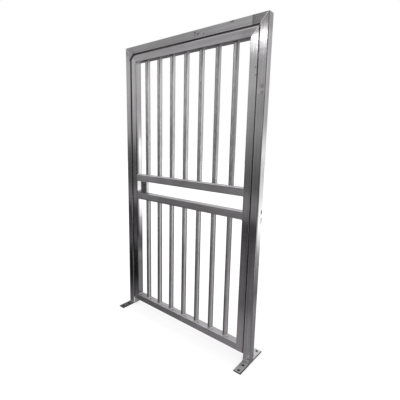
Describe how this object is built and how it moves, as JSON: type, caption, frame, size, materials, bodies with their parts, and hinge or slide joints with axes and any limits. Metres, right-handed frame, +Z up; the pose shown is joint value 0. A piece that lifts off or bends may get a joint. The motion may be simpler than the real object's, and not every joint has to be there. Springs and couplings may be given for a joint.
{
  "type": "side gate",
  "caption": "Tall barred side gate of satin stainless square tube in a mitred post-and-header frame on bolt-down base plates, with a swinging leaf and a lock box.",
  "frame": {"origin": "centre of the underside of the right base plate, under the centre of the right post, which carries the hinges", "axes": "+X along the gate to the viewer's right, +Y away from the front, the way the leaf opens, +Z up the post"},
  "size_m": [1.154, 0.262, 2.006],
  "materials": {
    "stainless": "satin stainless tube with ground weld seams",
    "bright_steel": "bright satin stainless",
    "dark_steel": "dark mill-finish sheet"
  },
  "bodies": {
    "frame": {"left_post": "stainless", "right_post": "stainless", "header": "stainless", "left_base_plate": "stainless", "right_base_plate": "stainless", "stop_plate": "stainless", "lower_hinge_pin_half": "bright_steel", "upper_hinge_pin_half": "bright_steel"},
    "leaf": {"lock_stile": "stainless", "hinge_stile": "stainless", "top_rail": "stainless", "bottom_rail": "stainless", "upper_mid_rail": "stainless", "lower_mid_rail": "stainless", "upper_bar_1": "bright_steel", "upper_bar_2": "bright_steel", "upper_bar_3": "bright_steel", "upper_bar_4": "bright_steel", "upper_bar_5": "bright_steel", "upper_bar_6": "bright_steel", "upper_bar_7": "bright_steel", "lower_bar_1": "bright_steel", "lower_bar_2": "bright_steel", "lower_bar_3": "bright_steel", "lower_bar_4": "bright_steel", "lower_bar_5": "bright_steel", "lower_bar_6": "bright_steel", "lower_bar_7": "bright_steel", "lock_box": "dark_steel", "lower_hinge_leaf_half": "bright_steel", "upper_hinge_leaf_half": "bright_steel"}
  },
  "joints": [
    {"name": "gate_swing", "type": "hinge", "parent": "frame", "child": "leaf", "pos_m": [-0.028, 0.038, 1], "axis": [0, 0, -1], "range_deg": [0, 170]}
  ]
}
